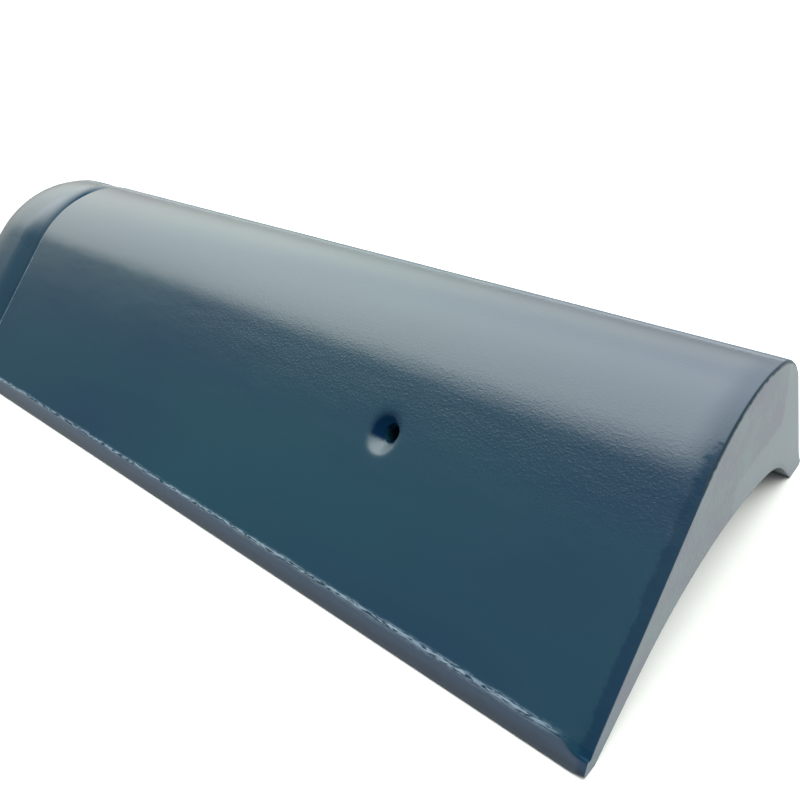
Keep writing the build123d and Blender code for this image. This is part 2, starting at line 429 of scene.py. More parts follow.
def relief(x, s):
    """Millimetres that a point of the outer side sinks square to the surface."""
    x, s = np.broadcast_arrays(x, s)
    y = on(outer, s)[0]
    small_waves = SMALL_WAVE * ripple(x, s, SMALL_WAVE_SIZE, SMALL_WAVE_SEED)
    waves = WAVE * (1 + ripple(x, s, WAVE_SIZE, WAVE_SEED) + small_waves)
    bead = BEAD_HEIGHT * bead_share(x, s) * (0.5 + 0.5 * ease(x, -40, 140))
    rolled = ROLL_DROP * roll_share(x, s) ** ROLL_POWER
    return lap_relief(x, y) + rolled + dimple_relief(x, s) + arris_relief(x, s) + waves - bead


# %% [markdown]
# ## From flat numbers to points
# A point of the outer side is found in two moves: walk s millimetres round the section, then sink by the
# relief, square to the surface there. On the thin lower edge and at the foot the sinking fades out, so the
# tile still stands on the same two lines. Everything stays inside the CAD solid's box, because the real
# size was settled there.

# %% Points
RIM_SLIDE = 1.9
RIM_BEND = 9.0
RIM_BEND_END = 3.0
TOE_BEND = 5.0
TOE_LIFT = 0.8
TOE_IN = 0.3
FOOT_FADE = 6.0
UNDER_ARRIS = 0.15
UNDER_FULL_AT = 3.0

steep = math.radians(EDGE_SLOPE)
low_corner = np.array(cad_box[0]) / MM
high_corner = np.array(cad_box[1]) / MM


def to_tile(x, y, z):
    """Points of the tile, in millimetres, kept inside the CAD box."""
    points = np.stack(np.broadcast_arrays(x, y + NEAR_EDGE, z), axis=-1)
    return np.clip(points, low_corner, high_corner)


def skin(x, s, sink=None):
    """Points on the outer side."""
    x, s = np.broadcast_arrays(x, s)
    y, z = on(outer, s)
    fade = ease(s, toe_end, edge_end) * (1 - ease(s, leg_end - FOOT_FADE, leg_end))
    square = np.minimum(np.interp(s, outer[0], outer[3]), slope)
    depth = (relief(x, s) if sink is None else sink) * fade
    depth = np.where(s < corner_end, ease(s, edge_end, corner_end) * depth, depth)
    # Near the tail the lower rim slides down the edge, and the toe bends in and up.
    edge_share = np.clip((s - toe_end) / (edge_end - toe_end), 0, 1)
    slide = RIM_SLIDE * edge_share * ease(x, HALF - RIM_BEND, HALF - RIM_BEND_END)
    slide = slide * (1 - ease(s, corner_end, corner_end + ROLL_FULL_UP_WING))
    at_toe = ease(x, HALF - TOE_BEND, HALF) * (1 - ease(s, toe_end, edge_end))
    return to_tile(
        x, y + depth * np.sin(square) - slide * math.cos(steep) + TOE_IN * at_toe,
        z - depth * np.cos(square) - slide * math.sin(steep) + TOE_LIFT * at_toe,
    )


def under(x, s):
    """Points on the arch, with its two ends rounded a little."""
    x, s = np.broadcast_arrays(x, s)
    y, z = on(arch, s)
    end = np.clip(abs(x) - (HALF - UNDER_ARRIS), 0, UNDER_ARRIS)
    lift = (UNDER_ARRIS - np.sqrt(UNDER_ARRIS ** 2 - end ** 2)) * ease(z, 0.0, UNDER_FULL_AT)
    return to_tile(x, y, z + lift)


# %% [markdown]
# ## Joining the grids
# The tile is built from a few grids of four-sided faces: the outer side, the arch, the two soles it stands
# on, the two ends, and a ring of faces round the nail hole. A boolean cut would leave long thin triangles
# round the hole that shade badly. Here a square patch is left out of both grids instead, and rings of faces
# run from the square to the round hole, then down through the wall.

# %% Collect faces
COATING, CUT, BARE = 0, 1, 2
all_points, all_faces, all_finish = [], [], []


def add_grid(points, finish, keep=None, flip=False):
    """Adds a grid of points as four-sided faces; keep is a mask of the faces that are wanted."""
    deep, wide = points.shape[:2]
    first = sum(len(p) for p in all_points)
    all_points.append(points.reshape(-1, 3))
    index = first + np.arange(deep * wide).reshape(deep, wide)
    corners = [index[:-1, :-1], index[1:, :-1], index[1:, 1:], index[:-1, 1:]]
    faces = np.stack(corners[::-1] if flip else corners, axis=-1)
    wanted = np.ones((deep - 1, wide - 1), bool) if keep is None else keep
    all_faces.append(faces[wanted])
    all_finish.append(np.broadcast_to(finish, wanted.shape)[wanted])


# %% The two sides, the soles and the ends
END_STEPS = 8

outside = skin(rows[:, None], columns[None, :])
inside = under(rows[:, None], arch_columns[None, :])
keep = np.ones((len(rows) - 1, len(columns) - 1), bool)
keep[row_first:row_last, column_first:column_last] = False
add_grid(outside, COATING, keep)
add_grid(inside, BARE, keep, flip=True)


def between(first, last, steps):
    """A grid of points from one line of points to another."""
    share = np.linspace(0, 1, steps + 1)[:, None, None]
    return first[None] * (1 - share) + last[None] * share


add_grid(between(outside[:, 0], inside[:, 0], END_STEPS), BARE)
add_grid(between(outside[:, -1], inside[:, -1], END_STEPS), BARE, flip=True)
add_grid(between(outside[-1], inside[-1], END_STEPS), CUT)
add_grid(between(outside[0], inside[0], END_STEPS), CUT, flip=True)

# %% The nail hole
LIP = 0.5
LIP_STEPS = 4
RINGS = 14
RING_CROWDING = 1.3
WALL_STEPS = 8

side = np.linspace(-PATCH, PATCH, PATCH_STEPS + 1)
edge = np.full(PATCH_STEPS, PATCH)
square_along = np.concatenate([side[:-1], edge, -side[:-1], -edge])
square_up = np.concatenate([-edge, side[:-1], edge, -side[:-1]])
square_along, square_up = (np.append(a, a[0]) for a in (square_along, square_up))
reach = np.hypot(square_along, square_up)
round_along, round_up = square_along / reach, square_up / reach


def ring_places(radius_share, radius):
    """Places along and up the wing on rings from the square (0) to the round hole (1)."""
    t = np.array(radius_share)[:, None]
    return (
        hole_x + square_along * (1 - t) + radius * round_along * t,
        HOLE_UP_WING + square_up * (1 - t) + radius * round_up * t,
    )


shares = 1 - (1 - np.linspace(0, 1, RINGS + 1)) ** RING_CROWDING
ring_along, ring_up = ring_places(shares, HOLE_RADIUS + LIP)
add_grid(skin(ring_along, wing_start + ring_up), COATING, flip=True)
below_along, below_up = ring_places(shares, HOLE_RADIUS)
hole_under = under(below_along, arch_below(below_up))
add_grid(hole_under, BARE)

turn = np.linspace(0, math.pi / 2, LIP_STEPS + 1)[:, None]
lip_radius = HOLE_RADIUS + LIP * (1 - np.sin(turn))
lip_along, lip_up = hole_x + lip_radius * round_along, HOLE_UP_WING + lip_radius * round_up
lip_start = relief(ring_along[-1], wing_start + ring_up[-1])
lip = skin(lip_along, wing_start + lip_up, lip_start + LIP * (1 - np.cos(turn)))
add_grid(lip, COATING, flip=True)
wall_finish = np.where(np.arange(WALL_STEPS) < WALL_STEPS // 2, COATING, BARE)[:, None]
add_grid(between(lip[-1], hole_under[-1], WALL_STEPS), wall_finish, flip=True)

# %% The tile as one mesh
SHARP_ANGLE = 38.0
SAME_POINT = 0.0005

points = np.concatenate(all_points) * MM
faces = np.concatenate(all_faces)
mesh = bpy.data.meshes.new("verge_tile")
mesh.from_pydata(points.tolist(), [], faces.tolist())
mesh.polygons.foreach_set("material_index", np.concatenate(all_finish).astype(np.int32))
tile = bpy.data.objects.new("verge_tile", mesh)
bpy.context.scene.collection.objects.link(tile)

shape = bmesh.new()
shape.from_mesh(mesh)
bmesh.ops.remove_doubles(shape, verts=shape.verts, dist=SAME_POINT * MM)
bmesh.ops.recalc_face_normals(shape, faces=shape.faces)
open_edges = sum(1 for e in shape.edges if len(e.link_faces) != 2)
shape.to_mesh(mesh)
print("tile volume in mm3", round(shape.calc_volume() / MM ** 3), "open edges", open_edges)
shape.free()
mesh.shade_smooth()
mesh.set_sharp_from_angle(angle=math.radians(SHARP_ANGLE))
print("tile", len(mesh.vertices), "points", len(mesh.polygons), "faces")

# %% [markdown]
# ## Marks that the materials read
# Where the coating is dull, beaded or coarse, where the lower edge and foot take their own tone, and where
# shade and highlights are painted into its colour depends on the shape, so those places are written on the
# mesh as numbers from 0 to 1, worked out from the same distances as the relief. A painted mask picture
# would need unwrapping. The shader breaks the edges of most of them up with noise, so they don't look like
# tape lines.

# %% Where each point of the mesh lies
OUTLINE_EVERY = 20
POINTS_AT_ONCE = 4000

place = np.empty(len(mesh.vertices) * 3)
mesh.vertices.foreach_get("co", place)
px, py, pz = (place.reshape(-1, 3) / MM).T
py = py - NEAR_EDGE
outer_s, outer_y, outer_z = (a[::OUTLINE_EVERY] for a in outer[:3])


def nearest_s(y, z):
    """Distance round the outer side of the point nearest to y, z."""
    out = np.empty(len(y))
    for start in range(0, len(y), POINTS_AT_ONCE):
        block = slice(start, start + POINTS_AT_ONCE)
        gap = (y[block, None] - outer_y) ** 2 + (z[block, None] - outer_z) ** 2
        out[block] = outer_s[gap.argmin(axis=1)]
    return out


ps = nearest_s(py, pz)
skin_y, skin_z = on(outer, ps)
depth_below = np.hypot(py - skin_y, pz - skin_z)
back = lap_x - px


def mark(name, values):
    """Writes one number for each point of the tile's mesh."""
    layer = mesh.attributes.new(name, "FLOAT", "POINT")
    layer.data.foreach_set("value", np.clip(values, 0, 1).astype(np.float32))
    print("mark", name, "covers", int((values > 0.5).sum()), "points")


def before_cut(first, last):
    """0 until first millimetres before the tail's cut, and 1 from last millimetres before it."""
    return ease(px, HALF - first, HALF - last)


def past(corner, first, last):
    """0 to 1 between two distances past one of the section's corners."""
    return ease(ps, corner + first, corner + last)


# %% Marks for the tones of the coating, most of them painted shade
SKIN_DEPTH = 2.6
GROOVE_SKIN_DEPTH = 5.6
RIM_NARROWS = 0.4
GROOVE_SHADE = 0.8
BOWL_GAIN = 2.5

rim_s = edge_end - RIM_SLIDE * before_cut(RIM_BEND, RIM_BEND_END) - RIM_NARROWS * before_cut(8, 4)
# The lower edge and the foot get a tone of their own.
on_lower_edge = 1 - ease(ps - rim_s, -0.4, 0.6)
mark("thin_coat", on_lower_edge + ease(ps, leg_end, foot_end))
# The lower edge darkens towards the toe: painted shade.
mark("toe_side", 1 - ease(ps, toe_end + 1.0, rim_s - 1.0))
on_crown = past(crown_start, -6, 6)
# The tail's roll-off and the groove behind the lap's sharp edge are darkened: painted shade.
roll_shade_band = ease(roll_share(px, ps), 0.0, 0.5) * (1 - past(crown_start, 4, 22))
groove_shade_band = ease(back, 0.0, 0.6) * (1 - ease(back, 3.0, 12.0)) * (1 - ease(py, 88, 116))
mark("tail_band", np.maximum(roll_shade_band, GROOVE_SHADE * groove_shade_band) * (depth_below < GROOVE_SKIN_DEPTH))
# A ragged dark patch at the bend near the cut: painted shade.
bend_shade_patch = before_cut(5.5, 1.5) * past(crown_start, -6, 0) * (1 - past(crown_start, 9, 19))
mark("dark_patch", bend_shade_patch * (depth_below < SKIN_DEPTH))
# The upper side of the dimple is darkened in colour and gloss: painted shade.
painted_bowl_shade = np.minimum(1, BOWL_GAIN * dimple_relief(px, ps) / DIMPLE_DEPTH)
painted_bowl_shade = painted_bowl_shade * past(wing_start + DIMPLE_UP_WING, -3.5, -1.5)
mark("bowl", painted_bowl_shade * (depth_below < SKIN_DEPTH))
# A thin dark line just before the cut over the crown: painted shade along the rounded edge.
cut_shade_line = before_cut(0.8, 0.5) * on_crown
mark("crown_line", cut_shade_line * (depth_below < SKIN_DEPTH))
mark("rim_bead", bead_share(px, ps))

# %% Marks for the painted edge highlights and the grain
GRAIN_OFF_BEND = 0.22
GRAIN_AT_HEAD = 0.05
TAIL_HIGHLIGHT = 0.3
LAP_HIGHLIGHT = 0.6

at_bend = past(wing_end, -26, -8) * (1 - 0.6 * past(wing_end, 14, 26))
to_the_tail = GRAIN_AT_HEAD + (1 - GRAIN_AT_HEAD) * ease(px, -120, 60)
mark("coarse_grain", (GRAIN_OFF_BEND + (1 - GRAIN_OFF_BEND) * at_bend) * to_the_tail)
# A pale line along the worn edges of tail and lap: painted highlight.
tail_highlight = TAIL_HIGHLIGHT * before_cut(0.3, 0.1) * on_crown
lap_highlight = LAP_HIGHLIGHT * ease(px, lap_x - 0.05, lap_x + 0.05) * (1 - ease(px, lap_x + 0.35, lap_x + 0.9))
mark("rubbed", tail_highlight + lap_highlight * (1 - ease(py, 55, 88)))

# %% Marks for the dull places
LOW_RIM_DULL = 0.35
SHOULDER_DULL = 0.9
SHOULDER_CLEARS = 0.8
EDGE_DULL = 0.2
TAIL_RIM_DULL = 0.9
NEAR_CUT_DULL = 0.3
LINE_DULL = 0.6
ROLL_DULL = 0.55

# The groove, the upper bowl, the roll-off band, the crown line and the tail's rim lose gloss here to look
# darker: painted shade.
dull_places = [
    ease(back, 0.0, 0.8) * (1 - ease(back, 5.0, 16.0)) * (1 - ease(py, 97, 128)),
    LOW_RIM_DULL * ease(back, 0.0, 1.0) * (1 - ease(py, 44, 92)),
    SHOULDER_DULL * past(crown_end, -1.2, 5.0) * (1 - SHOULDER_CLEARS * past(crown_end, 14.0, 23.0)),
    EDGE_DULL * on_lower_edge,
    TAIL_RIM_DULL * before_cut(9, 5) * (1 - past(corner_end, 0, 2)) * ease(ps - rim_s, -0.8, 0.2),
    NEAR_CUT_DULL * before_cut(11, 2) * on_crown + LINE_DULL * cut_shade_line,
    painted_bowl_shade,
    ROLL_DULL * roll_shade_band,
]
mark("dull", np.maximum.reduce(dull_places))

# %% [markdown]
# ## Colours and nodes
# Colours are written as the hex values that a picture program shows, and one function turns them into the
# linear light that Blender counts in. One more function adds a node with its settings and links; a link is
# given as the socket it comes from.

# %% Colour and node helpers
def colour(hex_text):
    """Linear colour from an sRGB hex value."""
    parts = [int(hex_text[i:i + 2], 16) / 255 for i in (1, 3, 5)]
    linear = [c / 12.92 if c <= 0.04045 else ((c + 0.055) / 1.055) ** 2.4 for c in parts]
    return (*linear, 1.0)


def put(tree, kind, inputs, **settings):
    """Adds a node, sets it up, and fills or links its inputs by name or number."""
    node = tree.nodes.new(kind)
    for name, value in settings.items():
        setattr(node, name, value)
    for name, value in inputs.items():
        if isinstance(value, bpy.types.NodeSocket):
            tree.links.new(value, node.inputs[name])
        else:
            node.inputs[name].default_value = value
    return node


def per_metre(size_mm):
    """Texture scale for bumps of a size in millimetres."""
    return 1 / (size_mm * MM)


def new_material(name):
    """An empty material with a surface shader, and its node tree."""
    material = bpy.data.materials.new(name)
    material.use_nodes = True
    tree = material.node_tree
    tree.nodes.clear()
    shader = tree.nodes.new("ShaderNodeBsdfPrincipled")
    output = tree.nodes.new("ShaderNodeOutputMaterial")
    tree.links.new(shader.outputs["BSDF"], output.inputs["Surface"])
    return material, tree, shader


# The mix node repeats its socket names for each kind of value, so its colour sockets go by number.
MIX_A, MIX_B, MIX_RESULT = 6, 7, 2

# %% [markdown]
# ## The coating: acrylic roof-tile paint on pressed concrete
# The tile is coated while the concrete is still damp, with a water-based acrylic that dries to a tough
# semi-gloss film. The film flows a little, so it mirrors a bright ceiling softly, but the sand below it and
# the slip roller that shaped the tile leave fine pimples drawn out along its length. An acrylic has an IOR
# of about 1.5. A clear coat over a rough base could give the same gloss, but one layer with a fine bump
# breaks the edge of the reflection up in the way that is seen here. Shade is painted into the film as a darker
# tone with less gloss: in the groove, in the upper side of the dimple, over the tail's roll-off, along a thin
# line at the crown's cut edge, and in a ragged patch at the bend near the cut. The lower edge and the foot
# take their own duller tone, which is painted darker towards the toe as shade. The film is beaded along the
# rim, and the bead's paler tone is a painted highlight, as is the pale line along the worn edges of lap and
# tail.

# %% Coating base
COATING_BLUE = "#13293E"
COATING_TEAL = "#133340"
PATCH_SIZE = 70.0
RAGGED_SIZE = 1.6
ROLLED_LONG = 0.4
TAIL_TONE_FROM, TAIL_TONE_TO = 80.0, 170.0
HEAD_TEAL = 0.1
TAIL_BLUE = 0.35

coating, tree, shader = new_material("acrylic_coating_on_concrete")
spot = put(tree, "ShaderNodeTexCoord", {}).outputs["Object"]
rolled = put(tree, "ShaderNodeMapping", {"Vector": spot, "Scale": (ROLLED_LONG, 1.0, 1.0)}).outputs["Vector"]
patches = put(
    tree, "ShaderNodeTexNoise", {"Vector": rolled, "Scale": per_metre(PATCH_SIZE), "Detail": 3.0},
).outputs["Fac"]
patch_tone = put(
    tree, "ShaderNodeMapRange", {"Value": patches, "From Min": 0.25, "From Max": 0.65},
).outputs["Result"]
to_tail = put(tree, "ShaderNodeMapRange", {
    "Value": put(tree, "ShaderNodeSeparateXYZ", {0: spot}).outputs["X"],
    "From Min": TAIL_TONE_FROM * MM, "From Max": TAIL_TONE_TO * MM,
}).outputs["Result"]
shift = put(
    tree, "ShaderNodeMath", {0: to_tail, 1: -TAIL_BLUE, 2: HEAD_TEAL}, operation="MULTIPLY_ADD",
).outputs[0]
tone = put(tree, "ShaderNodeMath", {0: patch_tone, 1: shift}, operation="ADD", use_clamp=True).outputs[0]
base = put(
    tree, "ShaderNodeMix", {0: tone, MIX_A: colour(COATING_BLUE), MIX_B: colour(COATING_TEAL)},
    data_type="RGBA",
).outputs[MIX_RESULT]

# %% Marks with broken edges
fine = put(
    tree, "ShaderNodeTexNoise", {"Vector": rolled, "Scale": per_metre(RAGGED_SIZE), "Detail": 3.0},
).outputs["Fac"]
break_up = put(
    tree, "ShaderNodeMapRange", {"Value": fine, "From Min": 0.3, "From Max": 0.7},
).outputs["Result"]


def ragged(name, low, high, strength):
    """A mark from the mesh with its edge broken up by the fine noise."""
    written = put(tree, "ShaderNodeAttribute", {}, attribute_name=name).outputs["Fac"]
    inputs = {0: break_up, 1: strength, 2: -0.5 * strength}
    shifted = put(tree, "ShaderNodeMath", inputs, operation="MULTIPLY_ADD").outputs[0]
    summed = put(tree, "ShaderNodeMath", {0: written, 1: shifted}, operation="ADD").outputs[0]
    inputs = {"Value": summed, "From Min": low, "From Max": high}
    return put(tree, "ShaderNodeMapRange", inputs).outputs["Result"]


# Painted shade: the band, the patch, the bowl, the crown line and the toe. Painted highlight: the pale worn
# edges.
shade_band = ragged("tail_band", 0.36, 0.8, 0.7)
shade_patch = ragged("dark_patch", 0.36, 0.8, 0.7)
bowl = ragged("bowl", 0.1, 0.9, 0.1)
crown_shade = ragged("crown_line", 0.2, 0.8, 0.3)
edge_and_foot = ragged("thin_coat", 0.25, 0.75, 0.4)
toe_shade = ragged("toe_side", 0.16, 1.0, 0.3)
rubbed = ragged("rubbed", 0.2, 0.8, 0.2)

# %% Bead, painted shade, painted highlights and other tones of the coating
# Painted shade: a darker tone over the roll-off band, the groove and the patch at the bend.
SHADE_BAND_TONE = "#0A2639"
# Painted shade for the upper side of the dimple.
BOWL_SHADE_TONE = "#051B30"
# Painted shade along the tail's rounded edge over the crown.
CROWN_SHADE_TONE = "#1C2A34"
EDGE_AND_FOOT_TONE = "#203449"
# Painted shade towards the toe.
TOE_SHADE_TONE = "#182636"
# The bead is a real ridge of paint; its paler tone is a painted highlight.
BEAD_HIGHLIGHT_TONE = "#66798A"
# Painted highlight along the worn edges of lap and tail.
EDGE_HIGHLIGHT_TONE = "#8C979C"
STRING_SIZE = 1.2
STRING_STRETCH = (0.4, 2.6, 2.6)

drawn = put(tree, "ShaderNodeMapping", {"Vector": spot, "Scale": STRING_STRETCH}).outputs["Vector"]
strings = put(
    tree, "ShaderNodeTexNoise", {"Vector": drawn, "Scale": per_metre(STRING_SIZE), "Detail": 2.0},
).outputs["Fac"]
split = put(
    tree, "ShaderNodeMapRange", {"Value": strings, "From Min": 0.44, "From Max": 0.54},
).outputs["Result"]
on_rim = put(tree, "ShaderNodeAttribute", {}, attribute_name="rim_bead").outputs["Fac"]
bead = put(tree, "ShaderNodeMath", {0: on_rim, 1: split}, operation="MULTIPLY").outputs[0]
# Lays each tone over the coating: the painted shade, the lower edge's own tone, and the painted highlights of
# bead and edges.
for tone_over, amount in (
    (SHADE_BAND_TONE, shade_band), (SHADE_BAND_TONE, shade_patch), (BOWL_SHADE_TONE, bowl), (CROWN_SHADE_TONE, crown_shade),
    (EDGE_AND_FOOT_TONE, edge_and_foot), (TOE_SHADE_TONE, toe_shade), (BEAD_HIGHLIGHT_TONE, bead), (EDGE_HIGHLIGHT_TONE, rubbed),
):
    inputs = {0: amount, MIX_A: base, MIX_B: colour(tone_over)}
    base = put(tree, "ShaderNodeMix", inputs, data_type="RGBA").outputs[MIX_RESULT]

# %% Coating grain
# The real grain is about half a millimetre, finer than a pixel, so it is drawn about twice as coarse. The
# few grains that stand out as pimples are drawn near their real size.
GRAIN = 1.1
GRAIN_DEPTH = 0.038
GRAIN_LONG = 0.65
PIMPLE = 0.7
PIMPLE_DEPTH = 0.02
ORANGE_PEEL = 5.0
PEEL_DEPTH = 0.05
BEAD_DEPTH = 0.05

pressed = put(tree, "ShaderNodeMapping", {"Vector": spot, "Scale": (GRAIN_LONG, 1.0, 1.0)}).outputs["Vector"]
grain = put(tree, "ShaderNodeTexNoise", {
    "Vector": pressed, "Scale": per_metre(GRAIN), "Detail": 3.0, "Roughness": 0.6,
}).outputs["Fac"]
peel = put(
    tree, "ShaderNodeTexNoise", {"Vector": rolled, "Scale": per_metre(ORANGE_PEEL), "Detail": 1.0},
).outputs["Fac"]
lumps = put(
    tree, "ShaderNodeTexNoise", {"Vector": pressed, "Scale": per_metre(PIMPLE), "Detail": 1.0},
).outputs["Fac"]
pimple = put(
    tree, "ShaderNodeMapRange", {"Value": lumps, "From Min": 0.48, "From Max": 0.74},
).outputs["Result"]
coarse = put(tree, "ShaderNodeAttribute", {}, attribute_name="coarse_grain").outputs["Fac"]
bent = put(tree, "ShaderNodeBump", {"Height": peel, "Distance": PEEL_DEPTH * MM}).outputs["Normal"]
for height, strength, depth in (
    (grain, coarse, GRAIN_DEPTH), (pimple, coarse, PIMPLE_DEPTH), (bead, 1.0, BEAD_DEPTH),
):
    inputs = {"Height": height, "Strength": strength, "Distance": depth * MM, "Normal": bent}
    bent = put(tree, "ShaderNodeBump", inputs).outputs["Normal"]

# %% Coating gloss
COATING_IOR = 1.5
ROUGH_LOW, ROUGH_HIGH = 0.18, 0.22
ROUGHER_EDGE_AND_FOOT = 0.25
ROUGHER_BEAD = 0.2
ROUGHER_DULL = 0.3
PATCH_DULL = 0.7
GLOSS = 0.5

dull_mark = put(tree, "ShaderNodeAttribute", {}, attribute_name="dull").outputs["Fac"]
# The patch at the bend also loses gloss, as painted shade.
dull_shade_patch = put(tree, "ShaderNodeMath", {0: shade_patch, 1: PATCH_DULL}, operation="MULTIPLY").outputs[0]
dull = put(tree, "ShaderNodeMath", {0: dull_mark, 1: dull_shade_patch}, operation="MAXIMUM").outputs[0]
rough = put(tree, "ShaderNodeMapRange", {
    "Value": patches, "From Min": 0.3, "From Max": 0.7, "To Min": ROUGH_LOW, "To Max": ROUGH_HIGH,
}).outputs["Result"]
for amount, rougher in ((edge_and_foot, ROUGHER_EDGE_AND_FOOT), (bead, ROUGHER_BEAD), (dull, ROUGHER_DULL)):
    inputs = {0: amount, 1: rougher, 2: rough}
    rough = put(tree, "ShaderNodeMath", inputs, operation="MULTIPLY_ADD").outputs[0]
gloss = put(tree, "ShaderNodeMath", {0: dull, 1: -GLOSS, 2: GLOSS}, operation="MULTIPLY_ADD").outputs[0]
tree.links.new(base, shader.inputs["Base Color"])
tree.links.new(rough, shader.inputs["Roughness"])
tree.links.new(gloss, shader.inputs["Specular IOR Level"])
tree.links.new(bent, shader.inputs["Normal"])
shader.inputs["IOR"].default_value = COATING_IOR
print("coating", len(tree.nodes), "nodes")

# %% [markdown]
# ## The cut end: raw pressed concrete
# Tiles are pressed as one long ribbon and chopped to length by a knife, so the ends show the concrete itself:
# grey cement with sand grains of about a millimetre, dragged and open where the knife tore it, and closed
# and smoother where the mould pressed it. Concrete has no gloss to speak of, so its roughness is high, and
# everything comes from mottled colour and a coarse bump.

# %% Cut concrete tones
CEMENT_DARK = "#5F616B"
CEMENT_PALE = "#616B70"
SMOOTH_PALE = "#697177"
TOE_HAZE = "#485868"
CLOUD_SIZE = 16.0
SMOOTH_EDGE_SIZE = 3.0
SMOOTH_SHARE = 0.7
HAZE_SHARE = 0.45

cut, tree, shader = new_material("cut_concrete")
spot = put(tree, "ShaderNodeTexCoord", {}).outputs["Object"]
clouds = put(tree, "ShaderNodeTexNoise", {
    "Vector": spot, "Scale": per_metre(CLOUD_SIZE), "Detail": 5.0, "Roughness": 0.6,
}).outputs["Fac"]
mottle = put(
    tree, "ShaderNodeMapRange", {"Value": clouds, "From Min": 0.35, "From Max": 0.65},
).outputs["Result"]
base = put(
    tree, "ShaderNodeMix", {0: mottle, MIX_A: colour(CEMENT_DARK), MIX_B: colour(CEMENT_PALE)},
    data_type="RGBA",
).outputs[MIX_RESULT]

# The mould pressed the concrete close under the arch's knee and down the leg, and some coating drifts onto
# the toe. Each area is a rise from 0 to 1 along one axis, from one millimetre place to another.
areas = []
across = put(tree, "ShaderNodeSeparateXYZ", {0: spot}).outputs
for axis, low, high in (("Y", 8.0, 16.0), ("Z", 39.0, 34.0), ("Y", 44.0, 48.0), ("Y", -46.0, -70.0)):
    inputs = {"Value": across[axis], "From Min": low * MM, "From Max": high * MM}
    areas.append(put(tree, "ShaderNodeMapRange", inputs).outputs["Result"])
past_knee, low_down, on_leg, near_toe = areas
under_knee = put(tree, "ShaderNodeMath", {0: past_knee, 1: low_down}, operation="MULTIPLY").outputs[0]
mould_side = put(tree, "ShaderNodeMath", {0: under_knee, 1: on_leg}, operation="MAXIMUM").outputs[0]
rough_edge = put(
    tree, "ShaderNodeTexNoise", {"Vector": spot, "Scale": per_metre(SMOOTH_EDGE_SIZE), "Detail": 3.0},
).outputs["Fac"]
mould_ragged = put(tree, "ShaderNodeMath", {0: mould_side, 1: rough_edge}, operation="ADD").outputs[0]
smooth = put(
    tree, "ShaderNodeMapRange", {"Value": mould_ragged, "From Min": 0.85, "From Max": 1.15},
).outputs["Result"]
smooth_tone = put(tree, "ShaderNodeMath", {0: smooth, 1: SMOOTH_SHARE}, operation="MULTIPLY").outputs[0]
haze = put(tree, "ShaderNodeMath", {0: near_toe, 1: HAZE_SHARE}, operation="MULTIPLY").outputs[0]
for tone_over, amount in ((SMOOTH_PALE, smooth_tone), (TOE_HAZE, haze)):
    inputs = {0: amount, MIX_A: base, MIX_B: colour(tone_over)}
    base = put(tree, "ShaderNodeMix", inputs, data_type="RGBA").outputs[MIX_RESULT]

# %% Cut concrete bump
SAND_SIZE = 1.2
SAND_DEPTH = 0.06
CLOUD_DEPTH = 0.45
CUT_ROUGHNESS = 0.85

sand = put(tree, "ShaderNodeTexVoronoi", {"Vector": spot, "Scale": per_metre(SAND_SIZE)}).outputs["Distance"]
grit = put(tree, "ShaderNodeMapRange", {"Value": sand, "From Min": 0.0, "From Max": 0.7}).outputs["Result"]
torn = put(tree, "ShaderNodeMath", {0: smooth, 1: -SMOOTH_SHARE, 2: 1.0}, operation="MULTIPLY_ADD").outputs[0]
cloud_bump = put(
    tree, "ShaderNodeBump", {"Height": clouds, "Strength": torn, "Distance": CLOUD_DEPTH * MM},
).outputs["Normal"]
sand_bump = put(tree, "ShaderNodeBump", {
    "Height": grit, "Strength": torn, "Distance": SAND_DEPTH * MM, "Normal": cloud_bump,
}).outputs["Normal"]
tree.links.new(base, shader.inputs["Base Color"])
tree.links.new(sand_bump, shader.inputs["Normal"])
shader.inputs["Roughness"].default_value = CUT_ROUGHNESS
print("cut concrete", len(tree.nodes), "nodes")

# %% [markdown]
# ## The underside: concrete off the pallet
# The tile is pressed onto a steel pallet and never coated below. The pallet leaves the concrete close and
# even, with faint lines along the tile and small air holes. Its tones are set dark as painted shade inside
# the arch.

# %% Underside concrete
# Both tones are dark as painted shade inside the arch.
PALLET_SHADE_DARK = "#4E5356"
PALLET_SHADE_PALE = "#666C6F"
PALLET_LONG = 0.06
PALLET_LINE = 3.0
PALLET_LINE_DEPTH = 0.15
PALLET_CLOUD = 25.0
AIR_HOLE_SPACING = 6.0
AIR_HOLE_DEPTH = 0.3
PALLET_ROUGHNESS = 0.8

bare, tree, shader = new_material("pallet_side_concrete_in_painted_shade")
spot = put(tree, "ShaderNodeTexCoord", {}).outputs["Object"]
drawn = put(tree, "ShaderNodeMapping", {"Vector": spot, "Scale": (PALLET_LONG, 1.0, 1.0)}).outputs["Vector"]
lines = put(
    tree, "ShaderNodeTexNoise", {"Vector": drawn, "Scale": per_metre(PALLET_LINE), "Detail": 3.0},
).outputs["Fac"]
clouds = put(
    tree, "ShaderNodeTexNoise", {"Vector": spot, "Scale": per_metre(PALLET_CLOUD), "Detail": 5.0},
).outputs["Fac"]
both = put(tree, "ShaderNodeMath", {0: lines, 1: clouds}, operation="ADD").outputs[0]
mottle = put(
    tree, "ShaderNodeMapRange", {"Value": both, "From Min": 0.75, "From Max": 1.25},
).outputs["Result"]
base = put(
    tree, "ShaderNodeMix", {0: mottle, MIX_A: colour(PALLET_SHADE_DARK), MIX_B: colour(PALLET_SHADE_PALE)},
    data_type="RGBA",
).outputs[MIX_RESULT]
air = put(
    tree, "ShaderNodeTexVoronoi", {"Vector": spot, "Scale": per_metre(AIR_HOLE_SPACING)},
).outputs["Distance"]
hole = put(tree, "ShaderNodeMapRange", {"Value": air, "From Min": 0.12, "From Max": 0.05}).outputs["Result"]
